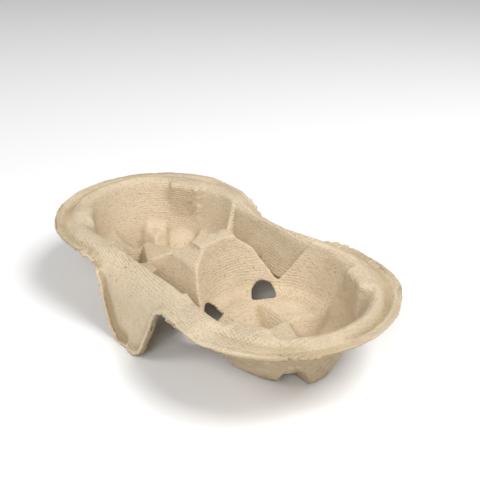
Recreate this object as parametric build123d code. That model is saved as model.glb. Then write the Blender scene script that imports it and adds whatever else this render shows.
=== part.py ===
"""Two-cup carrier of moulded paper pulp, made as one shell.

Origin on the table under the middle of the carrier, +X along the two cup wells,
+Y across them, +Z up.
"""
import os
from math import asin, atan2, cos, degrees, radians, sin, sqrt, tan

from build123d import *

# the shell
wall = 1.8                  # pulp thickness
cell_spacing = 104.0        # between the centres of the two wells
rim_top = 41.0              # crest of the rim above the table

# rim, followed round both wells
crest_radius = 44.0         # crest of the rim, from the centre of a well
waist_in = 3.0              # how far the crests draw in at the middle
crest_slope = 5.0           # degrees the rim starts down with
shoulder_radius = 15.0      # roundness of the rim towards the outside
shoulder_angle = 40.0       # degrees it turns through
skirt_draft = 4.5           # degrees off upright, below the shoulder

# trimmed edge and its lip
flange_level = 35.7         # underside of the edge round the wells
flange_lift = 1.7           # how much it rises towards the two ends
lip_out = 1.8               # how far the lip stands out
lip_height = 2.6
lip_root = 0.3              # how far the lip is let into the shell
ledge_height = 1.2          # of the flat that joins the lip to the slope

# the two legs, one at the middle of each long side
leg_tip_half = 4.5          # half the flat at the tip
leg_tip_radius = 13.0
leg_side_angle = 68.0       # degrees from level
notch_radius = 12.0         # where the leg's side runs into the edge

# chute down the outside of each leg
chute_radius = 53.6         # at the table, seen from above
chute_foot_out = 13.4       # at the table, outside the middle of the crest
chute_draft = 10.4          # degrees off upright
chute_turn = 56.6           # degrees it turns through to reach the rim
chute_crest_in = 5.0        # inside the middle of the crest, at the rim's height

# cup wells
floor_level = 13.0
well_inset = 19.0           # from the crest of the rim in to the wall's cone at the table
well_taper = 0.38           # growth of radius per height
floor_bevel = 3.0           # sloped part between the floor and the wall
floor_slope = 45.0          # degrees from level
mouth_round = 6.0
mouth_slope = 12.0          # degrees, rim falling into the well
well_stretch = 7.0          # well drawn towards the middle

# pads on the wall of each well that hold the cup
pad_angles = (62.0, 298.0)  # from the outer end of the well
pad_inset = 9.6             # from the crest of the rim in to the faces next to the cup
pad_span = 31.0             # degrees
pad_top = 40.7
pad_draft = 3.0
pad_round = 2.5

# valley on each side of the middle
valley_length = 42.0        # at the bottom
valley_end_angle = 68.0     # degrees from level, of its two ends
valley_shoulder_in = 23.0   # from the crest in to where the divider's two slopes meet
valley_shoulder_top = 35.5
valley_top_angle = 38.0     # degrees from level, above the shoulder
valley_face_angle = 68.0    # degrees from level, below the shoulder
valley_bottom = 15.0
valley_width = 5.6          # at the bottom
valley_wall_angle = 75.0    # degrees from level, on the rim's side
valley_round = 3.0
valley_shoulder_round = 5.0
valley_mouth = 6.0

# divider's raised top
peak_top = 43.0
peak_length = 25.0
peak_width = 11.0
peak_round = 3.0

# feet below each well
foot_places = ((0.0, 24.0, 6.0), (65.0, 18.3, 10.0),
               (180.0, 17.4, 10.0), (295.0, 18.3, 10.0))  # angle, outer edge, length
foot_depth = 8.0            # of the sole, towards the middle of the well
foot_out_draft = 45.0       # degrees off upright
foot_in_draft = 15.0
foot_side_draft = 28.0

# windows low in the wall of each well, next to the middle
window_angle = 28.0         # either side of the line through both wells
window_width = 12.0
window_low = 9.0
window_high = 19.0

deep = 12.0                 # how far the blocks run below the table
clear = 30.0                # how far the cutters run past the shell
half = cell_spacing / 2
waist_half = crest_radius - waist_in
chute_foot = waist_half + chute_foot_out
chute_crest = waist_half - chute_crest_in
well_radius = crest_radius - well_inset
pad_radius = crest_radius - pad_inset
valley_shoulder = waist_half - valley_shoulder_in


def crest_track():
    """The closed line of the rim's crest: two rounds joined by slack waists."""
    sag = (half ** 2 + waist_half ** 2 - crest_radius ** 2) / (2 * (crest_radius - waist_half))
    away = sag + waist_half
    reach = crest_radius + sag
    tx = half - crest_radius * half / reach
    ty = crest_radius * away / reach
    right_end = ThreePointArc((tx, -ty), (half + crest_radius, 0), (tx, ty))
    back = ThreePointArc((tx, ty), (0, waist_half), (-tx, ty))
    left_end = ThreePointArc((-tx, ty), (-half - crest_radius, 0), (-tx, -ty))
    front = ThreePointArc((-tx, -ty), (0, -waist_half), (tx, -ty))
    return Wire([right_end, back, left_end, front])


def rim_block(inset, rounded=True):
    """Everything under the rim's upper surface, drawn in by inset; unrounded, up to its crest."""
    track = crest_track()
    core = extrude(make_face(track), amount=rim_top - inset + deep)
    core = Pos(0, 0, -deep) * core
    start = (0, rim_top)
    slope = JernArc(start, (cos(radians(crest_slope)), -sin(radians(crest_slope))),
                    shoulder_radius, -shoulder_angle)
    edge = slope @ 1
    fall = edge.Y + 2 * deep
    low = (edge.X + fall * tan(radians(skirt_draft)), edge.Y - fall)
    inner = -shoulder_radius
    if rounded:
        top = [Line((inner, rim_top), start), slope, Line(edge, low)]
    else:
        crown = (edge.X - (rim_top - edge.Y) * tan(radians(skirt_draft)), rim_top)
        top = [Line((inner, rim_top), crown), Line(crown, low)]
    outline = Wire(top + [Line(low, (inner, low[1])), Line((inner, low[1]), (inner, rim_top))])
    section = make_face(outline)
    if inset:
        section = offset(section, amount=-inset, kind=Kind.INTERSECTION)
    place = Plane(origin=(half + crest_radius, 0, 0), x_dir=(1, 0, 0), z_dir=(0, -1, 0))
    return core + sweep(place * section, path=track)


def chutes(grow):
    """Cutters for the hollow slopes outside the legs, one on each side."""
    axis_at = chute_foot + chute_radius
    lean = radians(chute_draft)
    turn = radians(chute_turn)
    top = (axis_at - chute_crest, rim_top)
    offset_out = top[0] - (chute_radius + rim_top * tan(lean))
    bend = offset_out / (cos(lean) - cos(lean + turn) - tan(lean) * (sin(lean + turn) - sin(lean)))
    arc = JernArc(top, (-sin(lean + turn), -cos(lean + turn)), bend, chute_turn)
    low_z = -2 * deep
    low = (chute_radius + low_z * tan(lean), low_z)
    inner = chute_radius / 2
    high = rim_top + clear
    outline = Wire([
        Line(low, arc @ 1), arc, Line(top, (top[0], high)),
        Line((top[0], high), (inner, high)), Line((inner, high), (inner, low_z)),
        Line((inner, low_z), low),
    ])
    section = make_face(outline)
    if grow:
        section = offset(section, amount=grow, kind=Kind.INTERSECTION)
    ring = revolve(Plane.XZ * section, Axis.Z)
    return Pos(0, -axis_at, 0) * ring + Pos(0, axis_at, 0) * ring


def slopes(inset, rounded=True):
    """The block with its chutes cut."""
    return rim_block(inset, rounded) - chutes(inset)


def block(inset):
    """Everything under the carrier's upper surface, before wells and valleys."""
    peak = Box(peak_width - 2 * inset, peak_length - 2 * inset, peak_top - inset)
    peak = Pos(0, 0, (peak_top - inset) / 2) * peak
    edges = peak.edges().group_by(Axis.Z)[-1]
    return slopes(inset) + fillet(edges, max(peak_round - inset, peak_round / 4))


def below_edge(rise):
    """Cutter for all that lies under the trimmed edge, raised by rise."""
    angle = radians(leg_side_angle)
    tip = Line((0, 0), (leg_tip_half, 0))
    low_arc = JernArc(tip @ 1, (1, 0), leg_tip_radius, leg_side_angle)
    straight = (flange_level - (leg_tip_radius + notch_radius) * (1 - cos(angle))) / sin(angle)
    side = Line(low_arc @ 1, (low_arc @ 1) + Vector(cos(angle), sin(angle)) * straight)
    notch = JernArc(side @ 1, (cos(angle), sin(angle)), notch_radius, -leg_side_angle)
    level = Line(notch @ 1, (half, flange_level))
    run = crest_radius
    sweep_up = 2 * degrees(atan2(flange_lift, run))
    end_arc = JernArc(level @ 1, (1, 0), run / sin(radians(sweep_up)), sweep_up)
    far = (end_arc @ 1) + (end_arc % 1) * clear
    corner = (far.X, -3 * deep)
    outline = Wire([
        tip, low_arc, side, notch, level, end_arc, Line(end_arc @ 1, far),
        Line(far, corner), Line(corner, (0, -3 * deep)), Line((0, -3 * deep), (0, 0)),
    ])
    region = make_face(outline)
    region = region + mirror(region, about=Plane.YZ)
    if rise:
        region = offset(region, amount=rise, kind=Kind.INTERSECTION)
    return extrude(Rot(90, 0, 0) * region, amount=crest_radius + clear, both=True)


def edge_lip(under):
    """Lip that stands up and out round the trimmed edge, on a narrow ledge."""
    outer = slopes(-lip_out)
    ledge = (below_edge(ledge_height) - under) & (outer - slopes(wall))
    ridge = (below_edge(lip_height) - under) & (outer - slopes(lip_root, rounded=False))
    return ledge + ridge


def wall_radius(grow):
    """Radius of the well's cone at the table, grown by grow."""
    return well_radius + grow * sqrt(1 + well_taper ** 2)


def plain_cone(grow, floor):
    """Half section of a well down to a sharp floor."""
    base = wall_radius(grow)
    high = rim_top + clear
    foot = (base + well_taper * floor, floor)
    return make_face(Polyline((0, floor), foot, (base + well_taper * high, high), (0, high),
                              close=True))


def mouthed_cone(grow, floor):
    """Half section of a well down to a sharp floor, with its rounded mouth."""
    base = wall_radius(grow)
    high = rim_top + clear
    rise = tan(radians(mouth_slope))
    level = rim_top - rise * crest_radius - grow / cos(radians(mouth_slope))
    lip_r = (base + well_taper * level) / (1 - well_taper * rise)
    lip = (lip_r, level + rise * lip_r)
    far = crest_radius + wall
    foot = (base + well_taper * floor, floor)
    shape = make_face(Polyline((0, floor), foot, lip, (far, level + rise * far), (far, high),
                               (0, high), close=True))
    return fillet(shape.vertices().sort_by_distance(lip)[0], mouth_round - grow)


def under_floor(grow):
    """What lies below a well's floor and the slope round it."""
    edge = wall_radius(0) + well_taper * floor_level - floor_bevel
    edge = edge + grow * tan(radians(floor_slope / 2))
    floor = floor_level - grow
    far = crest_radius + clear
    high = floor + (far - edge) * tan(radians(floor_slope))
    shape = make_face(Polyline((0, -deep), (far, -deep), (far, high), (edge, floor), (0, floor),
                               close=True))
    mass = revolve(Plane.XZ * shape, Axis.Z)
    return mass & Pos(-well_stretch, 0, 0) * mass


def pads(inset):
    """Pads on a well's wall, drawn in by inset; the well is at the origin."""
    low = floor_level - 2 * wall
    foot = pad_radius - (pad_top - low) * tan(radians(pad_draft))
    crown = (pad_radius, pad_top)
    section = make_face(Polyline((foot, low), (crest_radius, low), (crest_radius, pad_top),
                                 crown, close=True))
    section = fillet(section.vertices().sort_by_distance(crown)[0], pad_round)
    if inset:
        section = offset(section, amount=-inset, kind=Kind.INTERSECTION)
    span = pad_span - 2 * degrees(asin(inset / pad_radius))
    pad = revolve(Plane.XZ * section, Axis.Z, span)
    return [Rot(0, 0, angle - span / 2) * pad for angle in pad_angles]


def feet(grow):
    """Blocks that open the underside of a well for its feet."""
    top = floor_level + clear
    rise = top - wall
    out = rise * tan(radians(foot_out_draft))
    back = rise * tan(radians(foot_in_draft))
    side = make_face(Polyline((-foot_depth, wall), (0, wall), (out, top), (-foot_depth - back, top),
                              close=True))
    if grow:
        side = offset(side, amount=grow, kind=Kind.INTERSECTION)
    blocks = []
    for angle, edge, length in foot_places:
        aside = length / 2 + rise * tan(radians(foot_side_draft))
        front = make_face(Polyline((-length / 2, wall), (length / 2, wall), (aside, top),
                                   (-aside, top), close=True))
        if grow:
            front = offset(front, amount=grow, kind=Kind.INTERSECTION)
        foot = extrude(Plane.XZ * side, amount=aside + grow, both=True)
        foot = foot & extrude(Plane.YZ * front, amount=out + foot_depth + back, both=True)
        blocks.append(Rot(0, 0, angle) * Pos(edge, 0, 0) * foot)
    return blocks


def well(grow):
    """The hollow of the right-hand well, grown by grow."""
    sole = wall - grow
    hollow = revolve(Plane.XZ * mouthed_cone(grow, sole), Axis.Z)
    hollow = hollow + Pos(-well_stretch, 0, 0) * revolve(Plane.XZ * plain_cone(grow, sole), Axis.Z)
    for pad in pads(grow):
        hollow = hollow - pad
    under = under_floor(grow)
    for foot in feet(grow):
        under = under - foot
    return Pos(half, 0, 0) * (hollow - under)


def valley(grow):
    """The hollow between the divider and the rim behind it, grown by grow."""
    high = rim_top + clear
    steep = tan(radians(valley_face_angle))
    shallow = tan(radians(valley_top_angle))
    back = tan(radians(valley_wall_angle))
    shoulder = (valley_shoulder, valley_shoulder_top)
    top = (valley_shoulder - (rim_top - valley_shoulder_top) / shallow, rim_top)
    low_in = (valley_shoulder + (valley_shoulder_top - valley_bottom) / steep, valley_bottom)
    low_out = (low_in[0] + valley_width, valley_bottom)
    rise = tan(radians(mouth_slope))
    out = (waist_half + wall, rim_top)
    lip_at = (rim_top - rise * out[0] - valley_bottom + back * low_out[0]) / (back - rise)
    lip = (lip_at, rim_top - rise * (out[0] - lip_at))
    shape = make_face(Polyline(top, shoulder, low_in, low_out, lip, out, (out[0], high),
                               (top[0], high), close=True))
    for corner, radius in ((shoulder, valley_shoulder_round), (low_in, valley_round),
                           (low_out, valley_round), (lip, valley_mouth)):
        shape = fillet(shape.vertices().sort_by_distance(corner)[0], radius)
    spread = (high - valley_bottom) / tan(radians(valley_end_angle))
    low_end = valley_length / 2
    high_end = low_end + spread
    ends = make_face(Polyline((-low_end, valley_bottom), (low_end, valley_bottom),
                              (high_end, high), (-high_end, high), close=True))
    if grow:
        shape = offset(shape, amount=grow, kind=Kind.INTERSECTION)
        ends = offset(ends, amount=grow, kind=Kind.INTERSECTION)
    trough = extrude(Plane.YZ * shape, amount=high_end + grow, both=True)
    return trough & extrude(Plane.XZ * ends, amount=-clear - waist_half)


def windows():
    """Arched openings low in the right-hand well's wall, towards the middle."""
    radius = window_width / 2
    spring = window_high - radius
    arch = Pos(0, (window_low + spring) / 2) * Rectangle(window_width, spring - window_low)
    arch = arch + Pos(0, spring) * Circle(radius)
    arch = arch & Pos(0, window_low + radius) * Rectangle(window_width, window_width)
    reach = wall_radius(wall) + well_taper * window_high + well_stretch
    start = well_radius + well_stretch
    cut = Pos(start, 0, 0) * extrude(Plane.YZ * arch, amount=reach - start)
    return [Pos(half, 0, 0) * Rot(0, 0, 180 + side * window_angle) * cut for side in (-1, 1)]


def both_ends(shape):
    """A right-hand hollow and its mirror image."""
    return shape + mirror(shape, about=Plane.YZ)


def carrier():
    """The whole moulding."""
    upper = block(0)
    under = below_edge(0)
    shell = upper - block(wall) - under + edge_lip(under)
    outer = both_ends(well(wall)) + valley(wall) + mirror(valley(wall), about=Plane.XZ)
    shell = shell + (outer & upper)
    shell = shell - both_ends(well(0))
    shell = shell - valley(0) - mirror(valley(0), about=Plane.XZ)
    for cut in windows():
        shell = shell - cut - mirror(cut, about=Plane.YZ)
    return shell


os.makedirs("parts", exist_ok=True)
moulding = carrier()
export_step(moulding, "parts/carrier.step")
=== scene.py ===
"""Two-cup carrier of moulded paper pulp, stood on a pale studio floor."""
import math

import bmesh
import bpy
import numpy as np
from mathutils import Matrix, Vector
from mathutils.bvhtree import BVHTree


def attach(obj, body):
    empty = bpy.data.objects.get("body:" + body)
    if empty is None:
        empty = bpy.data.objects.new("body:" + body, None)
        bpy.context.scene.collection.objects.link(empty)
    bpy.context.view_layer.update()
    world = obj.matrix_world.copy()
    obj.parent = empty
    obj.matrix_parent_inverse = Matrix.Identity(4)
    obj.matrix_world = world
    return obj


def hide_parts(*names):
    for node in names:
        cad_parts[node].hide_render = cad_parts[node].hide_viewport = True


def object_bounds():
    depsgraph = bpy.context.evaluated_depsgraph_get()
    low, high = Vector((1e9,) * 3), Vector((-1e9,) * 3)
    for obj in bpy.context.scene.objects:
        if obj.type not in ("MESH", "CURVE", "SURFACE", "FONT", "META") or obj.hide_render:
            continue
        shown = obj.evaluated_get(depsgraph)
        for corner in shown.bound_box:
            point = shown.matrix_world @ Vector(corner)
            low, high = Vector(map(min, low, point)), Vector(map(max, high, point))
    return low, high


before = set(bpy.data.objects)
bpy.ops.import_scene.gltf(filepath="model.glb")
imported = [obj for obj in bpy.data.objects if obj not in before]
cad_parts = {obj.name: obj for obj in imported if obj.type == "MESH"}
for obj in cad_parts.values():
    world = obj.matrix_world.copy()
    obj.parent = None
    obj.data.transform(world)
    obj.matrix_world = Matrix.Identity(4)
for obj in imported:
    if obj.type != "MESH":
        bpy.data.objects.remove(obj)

solid_low, solid_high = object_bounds()


# The moulding. One shell of wet pulp drawn onto a wire screen and dried, so that
# every corner is soft, the wall wanders by a few tenths of a millimetre and the
# trimmed edge is left ragged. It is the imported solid, remeshed fine and worked over.

half_spacing = 0.052                    # from the middle to the centre of a well
grain = 0.0007                          # side of the cells the shell is first cast in
kept_faces = 98500                      # of the fine mesh, each worth two triangles
same_corner = 2e-6                      # loose triangles are joined where they meet

# the trimmed edge lies past one of these, from a well's centre or the middle line
edge_out = 0.050
edge_aside = 0.0435

# a pair is where a change starts and where it is complete. These four are measured from
# the trimmed edge, whose ragged, torn and cut parts fade out where the soft wall begins
ragged_reach = (0.0012, 0.0042)
torn_reach = (0.0014, 0.0042)
cut_reach = (0.0014, 0.0024)
soft_reach = (0.0022, 0.0065)
least_soft = 0.08                       # what is left of the softening at the edge

# the edge is torn near the notch beside each leg and near the leg's tip, at x and z 0
notch_x = 0.034
notch_z = 0.036
tear_size = (0.008, 0.016)

# from the middle, along X, a leg passes into a well's rim
leg_to_rim = (0.026, 0.040)
rim_proper = (0.032, 0.046)
inner_rim = 0.0445                      # from a well's centre to where the outside starts
divider_side = 0.030                    # half the space that the divider takes along Y
long_sides = (-0.008, 0.022)            # where one long side's edge becomes the other's
facing_down = (-0.35, 0.0)              # upward part of a normal, from under to upright

# four places are where a form starts, is full, fades and ends: a bearing in degrees
# round a well, a span from its centre, and else a distance from the trimmed edge
pad_bearings = (36, 44, 80, 88)
pad_span = (0.031, 0.034, 0.044, 0.047)
pad_foot = (0.016, 0.022)               # height
below_pad_bearings = (18, 40, 76, 90)
below_pad_span = (0.0446, 0.0467, 0.0467, 0.0505)
below_pad_depth = 0.0017
lip_hollow = (0.0014, 0.0028, 0.0028, 0.0115)
lip_hollow_depth = 0.0012
lip_groove = (0.0018, 0.0030, 0.0034, 0.0056)
lip_groove_depth = 0.0010
hollow_on_leg = 0.2                     # share of the lip's hollow at a leg's steep side

# the lip leans out above its root, and is drawn in at the very cut
lip_lean = (0.0008, 0.0024, 0.0030, 0.0060)
lip_lean_out = 0.0012
cut_drawn_in = 0.0005
cut_width = 0.0016

# painted shade: how dark the cut band is on one long side and how much more on the other, and how
# dark the groove above it is
cut_painted_shade = 0.15
cut_painted_shade_more = 0.65
groove_painted_shade = 0.55

# the nearly level slope between a well's rim and the lip
slope_start = 0.048                     # from the centre of the well
slope_end = 0.0542
slope_full = 0.0495
slope_top = 0.0398                      # its height at the start
slope_fall = 0.10                       # fall per length
slope_bearings = (70, 88)               # where it runs out beside a leg


def rise(value, low, high):
    """Rises smoothly from 0 at low to 1 at high."""
    t = min(max((value - low) / (high - low), 0.0), 1.0)
    return t * t * (3 - 2 * t)


def hump(value, start, full, fading, end):
    """Rises from start to full, stays at 1 until fading, and is 0 again at the end."""
    return rise(value, start, full) * (1 - rise(value, fading, end))


def from_well(point):
    """Distance and bearing of a point from the middle of its own well."""
    across = abs(point.x) - half_spacing
    return math.hypot(across, point.y), math.degrees(math.atan2(abs(point.y), across))


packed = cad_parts["carrier"]
shell = bmesh.new()
shell.from_mesh(packed.data)
bmesh.ops.remove_doubles(shell, verts=shell.verts, dist=same_corner)
bmesh.ops.recalc_face_normals(shell, faces=shell.faces)

# the edge is cut straight along Y, so its faces look down and never along Y
cut_faces = []
for face in shell.faces:
    middle = face.calc_center_median()
    outer = from_well(middle)[0] > edge_out or abs(middle.y) > edge_aside
    if outer and abs(face.normal.y) < 0.02 and face.normal.z < -0.2:
        cut_faces.append([vert.index for vert in face.verts])
trimmed_edge = BVHTree.FromPolygons([vert.co.copy() for vert in shell.verts], cut_faces)

mesh = bpy.data.meshes.new("pulp_shell")
shell.to_mesh(mesh)
shell.free()
pulp = bpy.data.objects.new("pulp_shell", mesh)
bpy.context.scene.collection.objects.link(pulp)


def settle(piece):
    """Fixes the piece's modifiers into its mesh."""
    seen = piece.evaluated_get(bpy.context.evaluated_depsgraph_get())
    done = bpy.data.meshes.new_from_object(seen)
    piece.modifiers.clear()
    piece.data = done


recast = pulp.modifiers.new("recast", "REMESH")
recast.mode = "VOXEL"
recast.voxel_size = grain
recast.use_smooth_shade = True
settle(pulp)

groups = {name: pulp.vertex_groups.new(name=name)
          for name in ("trimmed_edge", "soft_faces", "torn_places", "pads", "underside")}
dents = []
painted_shades = []
for vert in pulp.data.vertices:
    spot = vert.co
    normal = vert.normal
    along = abs(spot.x)
    away = trimmed_edge.find_nearest(spot)[3]
    distance, bearing = from_well(spot)
    outside = distance > inner_rim and (abs(spot.y) > divider_side or along > half_spacing)
    # roughly outwards: across the carrier more than along it, and a little upwards
    facing_out = Vector((spot.x * 0.3, spot.y, 0.02)).dot(normal) > 0
    # 0 to 1 round the end of a well, from one long side of the carrier to the other
    turned = rise(-spot.y * math.copysign(1, spot.x), *long_sides)
    past_leg = rise(along, *leg_to_rim)
    on_rim = rise(along, *rim_proper)

    on_edge = 1 - rise(away, *ragged_reach)
    from_notch = math.hypot(along - notch_x, spot.z - notch_z)
    from_tip = math.hypot(spot.x, spot.z)
    at_tear = 1 - rise(min(from_notch, from_tip), *tear_size)
    on_pad = hump(bearing, *pad_bearings) * hump(distance, *pad_span)
    weights = {"trimmed_edge": on_edge,
               "soft_faces": least_soft + (1 - least_soft) * rise(away, *soft_reach),
               "torn_places": (1 - rise(away, *torn_reach)) * at_tear,
               "pads": on_pad * rise(spot.z, *pad_foot),
               "underside": (1 - rise(normal.z, *facing_down)) * (1 - on_edge)}
    for name, weight in weights.items():
        groups[name].add([vert.index], weight, "REPLACE")

    # the run-up to the lip is hollow, and so is the slope below each pad
    beside_lip = hump(away, *lip_hollow) * (1 - turned * (1 - hollow_on_leg * (1 - past_leg)))
    groove = hump(away, *lip_groove) * (1 - turned) * past_leg
    below_pad = hump(bearing, *below_pad_bearings) * hump(distance, *below_pad_span)
    depth = (beside_lip * lip_hollow_depth + groove * lip_groove_depth
             + below_pad * below_pad_depth) * outside
    dent = normal * (-depth if facing_out else depth)

    # round the wells the cut band stands upright, and the slope runs level up to it
    lean = hump(away, *lip_lean) * lip_lean_out
    lean -= (1 - rise(away, 0.0, cut_width)) * cut_drawn_in
    outward = Vector((spot.x - math.copysign(half_spacing, spot.x), spot.y, 0)).normalized()
    dent += outward * (lean * on_rim * outside)
    if slope_start < distance < slope_end and normal.z > 0.05:
        level = slope_top - (distance - slope_start) * slope_fall
        fill = max(level - spot.z, 0) * (1 - rise(bearing, *slope_bearings))
        dent.z += fill * rise(distance, slope_start, slope_full) * turned
    dents.append(dent)

    # painted shade: the cut band is darker, more on one long side, and so is the groove above it
    painted_shade = (1 - rise(away, *cut_reach)) * on_rim * (cut_painted_shade + cut_painted_shade_more * turned)
    if outside and normal.z > 0:
        painted_shade += groove * groove_painted_shade
    painted_shades.append(painted_shade)
for vert, dent in zip(pulp.data.vertices, dents):
    vert.co += dent
pulp.data.attributes.new("cut_band_painted_shade", "FLOAT", "POINT").data.foreach_set("value", painted_shades)


def soften(name, turns, group):
    """Rounds off a group of vertices, more with each turn."""
    smoother = pulp.modifiers.new(name, "SMOOTH")
    smoother.factor = 0.5
    smoother.iterations = turns
    smoother.vertex_group = group


def push(name, size, depth, detail=3, direction="NORMAL", group=""):
    """Pushes the surface in and out by up to half the depth, in lumps of the size."""
    lumps = bpy.data.textures.new(name, "CLOUDS")
    lumps.noise_scale = size
    lumps.noise_depth = detail
    wave = pulp.modifiers.new(name, "DISPLACE")
    wave.texture = lumps
    wave.texture_coords = "LOCAL"
    wave.direction = direction
    wave.strength = depth
    wave.mid_level = 0.5
    wave.vertex_group = group


soften("soften", 12, "soft_faces")
soften("pads_soften", 60, "pads")
push("warp", 0.022, 0.0009, 2, "RGB_TO_XYZ")
push("uneven_wall", 0.0065, 0.0005)
push("lumps", 0.0032, 0.0011, group="pads")
push("ragged_edge", 0.016, 0.0012, direction="RGB_TO_XYZ", group="trimmed_edge")
push("edge_fibres", 0.0014, 0.0003, 2, group="trimmed_edge")
push("tears", 0.0034, 0.0030, direction="RGB_TO_XYZ", group="torn_places")
push("rough_under", 0.0042, 0.0012, group="underside")
settle(pulp)

# the worked surface as arrays, to find its hollows
count = len(pulp.data.vertices)
spots = np.empty(count * 3)
normals = np.empty(count * 3)
ends = np.empty(len(pulp.data.edges) * 2, int)
pulp.data.vertices.foreach_get("co", spots)
pulp.data.vertices.foreach_get("normal", normals)
pulp.data.edges.foreach_get("vertices", ends)
spots = spots.reshape(-1, 3)
normals = normals.reshape(-1, 3)
first, second = ends.reshape(-1, 2).T
neighbours = np.maximum(np.bincount(ends, minlength=count), 1)


def round_about(values):
    """Mean of each vertex's neighbours."""
    total = np.bincount(first, values[second], count) + np.bincount(second, values[first], count)
    return total / neighbours


def mark_hollows(name, turns):
    """Stores how many millimetres each spot lies below its smoothed surroundings."""
    broad = spots.copy()
    for axis in range(3):
        for turn in range(turns):
            broad[:, axis] = round_about(broad[:, axis])
    below = ((broad - spots) * normals).sum(axis=1) * 1000
    for turn in range(3):
        below = round_about(below)
    mark = pulp.data.attributes.new(name, "FLOAT", "POINT")
    mark.data.foreach_set("value", below.astype(np.float32))


mark_hollows("crease", 6)
mark_hollows("vale", 60)

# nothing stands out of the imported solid's box
for vert in pulp.data.vertices:
    vert.co = [min(max(value, low), high)
               for value, low, high in zip(vert.co, solid_low, solid_high)]
thin = pulp.modifiers.new("thin", "DECIMATE")
thin.ratio = kept_faces / len(pulp.data.polygons)
settle(pulp)
for face in pulp.data.polygons:
    face.use_smooth = True


class Sock:
    """A shader value; arithmetic on it adds Math nodes."""

    def __init__(self, tree, out):
        self.tree = tree
        self.out = out

    def math(self, operation, *values):
        return self.tree.add("ShaderNodeMath", {"operation": operation}, dict(enumerate(values)))

    def __add__(self, other):
        return self.math("ADD", self, other)

    def __sub__(self, other):
        return self.math("SUBTRACT", self, other)

    def __rsub__(self, other):
        return self.math("SUBTRACT", other, self)

    def __mul__(self, other):
        return self.math("MULTIPLY", self, other)

    def __abs__(self):
        return self.math("ABSOLUTE", self)

    def sine(self):
        return self.math("SINE", self)

    def step(self, low, high):
        """Rises smoothly from 0 at low to 1 at high."""
        return self.tree.add("ShaderNodeMapRange", {"interpolation_type": "SMOOTHSTEP"},
                             {"Value": self, "From Min": low, "From Max": high})

    __radd__ = __add__
    __rmul__ = __mul__


class Finish:
    """A material with its nodes."""

    def __init__(self, name):
        self.material = bpy.data.materials.new(name)
        self.material.use_nodes = True
        self.nodes = self.material.node_tree.nodes
        self.links = self.material.node_tree.links
        self.shader = self.nodes["Principled BSDF"]

    def add(self, kind, settings=None, inputs=None, output=0):
        """Adds a node: its settings first, then the values or links of its sockets."""
        node = self.nodes.new(kind)
        for name, value in (settings or {}).items():
            setattr(node, name, value)
        for name, value in (inputs or {}).items():
            self.feed(node.inputs[name], value)
        return Sock(self, node.outputs[output])

    def feed(self, socket, value):
        if isinstance(value, Sock):
            self.links.new(value.out, socket)
        else:
            socket.default_value = value

    def noise(self, place, scale, detail, rough=0.55):
        """Cloudy values about 0.5; the scale is in lumps per metre."""
        return self.add("ShaderNodeTexNoise", {}, {"Vector": place, "Scale": scale,
                                                   "Detail": detail, "Roughness": rough})

    def dots(self, place, scale, core, rim):
        """Strewn dots: 1 up to the core and 0 past the rim, in widths of their cells."""
        cells = self.add("ShaderNodeTexVoronoi", {"feature": "F1"},
                         {"Vector": place, "Scale": scale})
        return 1 - cells.step(core, rim)

    def stored(self, name):
        """A value that the mesh holds for each vertex."""
        return self.add("ShaderNodeAttribute", {"attribute_name": name}, output="Fac")

    def mix(self, factor, first, second):
        return self.add("ShaderNodeMix", {"data_type": "RGBA"},
                        {0: factor, 6: first, 7: second}, 2)


# the pale and deep tones give the pulp its clouds and grit, and also paint highlights on ridges and
# shade in hollows, on the cut band and underneath
pulp_tan = (0.562, 0.452, 0.312, 1.0)
pulp_pale_and_highlight = (0.642, 0.530, 0.382, 1.0)
pulp_deep_and_shade = (0.412, 0.316, 0.190, 1.0)
speck_brown = (0.120, 0.075, 0.035, 1.0)
fleck_white = (0.850, 0.800, 0.720, 1.0)

wire_pitch = 0.00115                    # of the screen's wires
relief = 0.00022                        # height of the finest relief
sheen = 0.25                            # dry pulp barely shines
dullness = 0.86                         # least roughness
fibre_dullness = 0.12                   # what the fibres add to it

# a slot-shaped mark low on the outside of a well, beside a foot
slot_y = 0.0015
slot_z = 0.0064
slot_slant = 0.9
slot_half_width = (0.0003, 0.0007)
slot_half_length = (0.0012, 0.0019)
slot_from_x = (0.070, 0.072)

# lone dots: place, size and colour
lone_dots = (((-0.0115, -0.0442, 0.0363), 0.0005, speck_brown),
             ((-0.0068, -0.0438, 0.0360), 0.0003, speck_brown),
             ((-0.0049, -0.0210, 0.0280), 0.0004, speck_brown),
             ((0.0953, -0.0308, 0.0387), 0.0004, fleck_white))

finish = Finish("pulp")
place = finish.add("ShaderNodeTexCoord", output="Object")
x, y, z = (Sock(finish, out)
           for out in finish.add("ShaderNodeSeparateXYZ", {}, {0: place}).out.node.outputs)
facing = finish.add("ShaderNodeTexCoord", output="Normal")      # of the object, not the view
facing_up = finish.add("ShaderNodeSeparateXYZ", {}, {0: facing}, "Z")
flat = abs(facing_up).step(0.55, 0.85)
under = 1 - facing_up.step(-0.35, -0.05)

# prints of the screen's wires, broken into dashes, wandering, and faint in patches
sway = finish.noise(place, 160.0, 2.0) - 0.5
sway_broad = finish.noise(place, 45.0, 2.0) - 0.5
wires = 2 * math.pi / wire_pitch
lines_flat = ((y + x * 0.12 + sway * 0.0005 + sway_broad * 0.0006) * wires).sine()
lines_steep = ((z + sway * 0.0009 + sway_broad * 0.0010) * (wires * 0.85)).sine()
crossing = ((x - y * 0.2 + sway * 0.0010) * (wires * 0.70)).sine()
screen = (lines_flat * flat + lines_steep * (0.6 - flat * 0.6)) * (crossing * 0.45 + 0.55)
patchy = finish.noise(place, 38.0, 2.0).step(0.32, 0.60)
screen = screen * (patchy * 0.85 + 0.15) * (1 - under)

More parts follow.
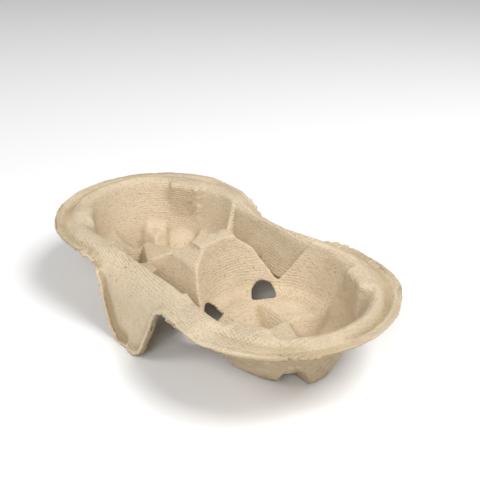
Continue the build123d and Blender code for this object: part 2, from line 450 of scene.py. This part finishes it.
# fibres, soft lumps, lone pits and dark specks
fibre = finish.noise(place, 900.0, 4.0, 0.65)
lump = finish.noise(place, 260.0, 4.0, 0.6)
pit = finish.dots(place, 105.0, 0.03, 0.075) * finish.noise(place, 62.0, 0.0).step(0.66, 0.74)
speck = finish.dots(place, 330.0, 0.08, 0.2)
speck = speck * finish.noise(place, 210.0, 0.0).step(0.58, 0.66)

# gouges on the underside, with the slot
seam = abs(finish.noise(place, 190.0, 2.0) - 0.5)
gouge = (1 - seam.step(0.006, 0.022)) * finish.noise(place, 75.0, 1.0).step(0.52, 0.60) * under
along_slot = z - slot_z
across_slot = y - slot_y - along_slot * slot_slant
slot = (1 - abs(across_slot).step(*slot_half_width)) * (1 - abs(along_slot).step(*slot_half_length))
gouge = gouge + slot * x.step(*slot_from_x)

height = screen * (0.9 + flat * 0.7) + fibre * 3.2 + lump * (1.8 + under * 3.0)
height = height - pit * 2.4 - gouge * 3.0
bump = finish.add("ShaderNodeBump", {}, {"Strength": 0.9, "Distance": relief, "Height": height})

# clouds and grit in the pulp, painted shade in hollows and a painted highlight on ridges
colour = finish.mix(finish.noise(place, 30.0, 4.0, 0.6).step(0.32, 0.70), pulp_tan, pulp_pale_and_highlight)
colour = finish.mix(finish.noise(place, 420.0, 3.0, 0.7).step(0.50, 0.85) * 0.45, colour, pulp_deep_and_shade)
grit = finish.noise(place, 800.0, 2.0, 0.6)
colour = finish.mix(grit.step(0.50, 0.72) * 0.50, colour, pulp_deep_and_shade)
colour = finish.mix((1 - grit).step(0.50, 0.72) * 0.50, colour, pulp_pale_and_highlight)
# painted shade where the surface lies below its surroundings, painted highlight where it stands
# above them
crease = finish.stored("crease")
hollow = crease.step(0.03, 0.30) * 0.65 + finish.stored("vale").step(0.05, 1.1) * 0.35
colour = finish.mix(hollow, colour, pulp_deep_and_shade)
colour = finish.mix((0 - crease).step(0.05, 0.30) * 0.5, colour, pulp_pale_and_highlight)
# painted shade on the cut band and on every face that turns downwards
colour = finish.mix(finish.stored("cut_band_painted_shade") * 0.9 + under * 0.7, colour, pulp_deep_and_shade)

# what lies in the pulp or is knocked into it
colour = finish.mix(pit * 0.75, colour, speck_brown)
colour = finish.mix(gouge * 0.65, colour, speck_brown)
for centre, size, tone in lone_dots:
    gap = finish.add("ShaderNodeVectorMath", {"operation": "DISTANCE"},
                     {0: place, 1: centre}, "Value")
    colour = finish.mix((1 - gap.step(size * 0.5, size * 1.4)) * 0.8, colour, tone)
colour = finish.mix(speck * 0.55, colour, speck_brown)
pale = finish.dots(place, 58.0, 0.025, 0.04) * finish.noise(place, 20.0, 0.0).step(0.55, 0.6)
colour = finish.mix(pale * 0.8, colour, fleck_white)

finish.feed(finish.shader.inputs["Base Color"], colour)
finish.feed(finish.shader.inputs["Roughness"], dullness + fibre * fibre_dullness)
finish.feed(finish.shader.inputs["Normal"], bump)
finish.feed(finish.shader.inputs["Specular IOR Level"], sheen)
pulp.data.materials.clear()
pulp.data.materials.append(finish.material)

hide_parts("carrier")
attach(pulp, "root")


# The studio. A plain pale floor that runs out of sight, two large soft lights from the
# front, a small one above and behind, and a faint white surround.

sweep = bmesh.new()
bmesh.ops.create_grid(sweep, x_segments=1, y_segments=1, size=6.0)
floor_mesh = bpy.data.meshes.new("studio_floor")
sweep.to_mesh(floor_mesh)
sweep.free()
studio_floor = bpy.data.objects.new("studio_floor", floor_mesh)
bpy.context.scene.collection.objects.link(studio_floor)
floor_finish = Finish("studio_white")
floor_finish.feed(floor_finish.shader.inputs["Base Color"], (0.87, 0.87, 0.87, 1.0))
floor_finish.feed(floor_finish.shader.inputs["Roughness"], 0.9)
floor_mesh.materials.append(floor_finish.material)

lit_spot = Vector((0, 0, 0.02))


def soft_light(name, stand, size, power):
    """A square light, turned to the carrier."""
    lamp = bpy.data.lights.new(name, "AREA")
    lamp.shape = "SQUARE"
    lamp.size = size
    lamp.energy = power
    holder = bpy.data.objects.new(name, lamp)
    holder.location = stand
    holder.rotation_euler = (lit_spot - Vector(stand)).to_track_quat("-Z", "Y").to_euler()
    bpy.context.scene.collection.objects.link(holder)


soft_light("side", (1.30, -1.60, 1.60), 1.1, 26.0)
soft_light("fill", (-0.60, -1.80, 1.70), 1.1, 22.0)
soft_light("top", (0.50, 0.25, 0.95), 0.5, 10.5)
surround = bpy.data.worlds.new("surround")
surround.use_nodes = True
glow = surround.node_tree.nodes["Background"]
glow.inputs["Color"].default_value = (1.0, 1.0, 1.0, 1.0)
glow.inputs["Strength"].default_value = 0.22
bpy.context.scene.world = surround
bpy.context.scene.view_settings.view_transform = "Standard"


# The camera. It stands where the photograph was taken from, at the same height and
# bearing, with a lens that takes in the same width.

camera_place = (0.256056, -0.192134, 0.210203)
ahead = Vector((-0.68390, 0.56110, -0.46631)).normalized()
right = Vector((0.63216, 0.77482, 0.00518))
right = (right - ahead * right.dot(ahead)).normalized()
up = right.cross(ahead)

lens = bpy.data.cameras.new("camera")
lens.sensor_width = 36.0
lens.lens = 53.75
lens.clip_start = 0.01
camera = bpy.data.objects.new("camera", lens)
aimed = Matrix((right, up, -ahead)).transposed().to_4x4()
camera.matrix_world = Matrix.Translation(camera_place) @ aimed
bpy.context.scene.collection.objects.link(camera)
bpy.context.scene.camera = camera

bpy.context.view_layer.update()
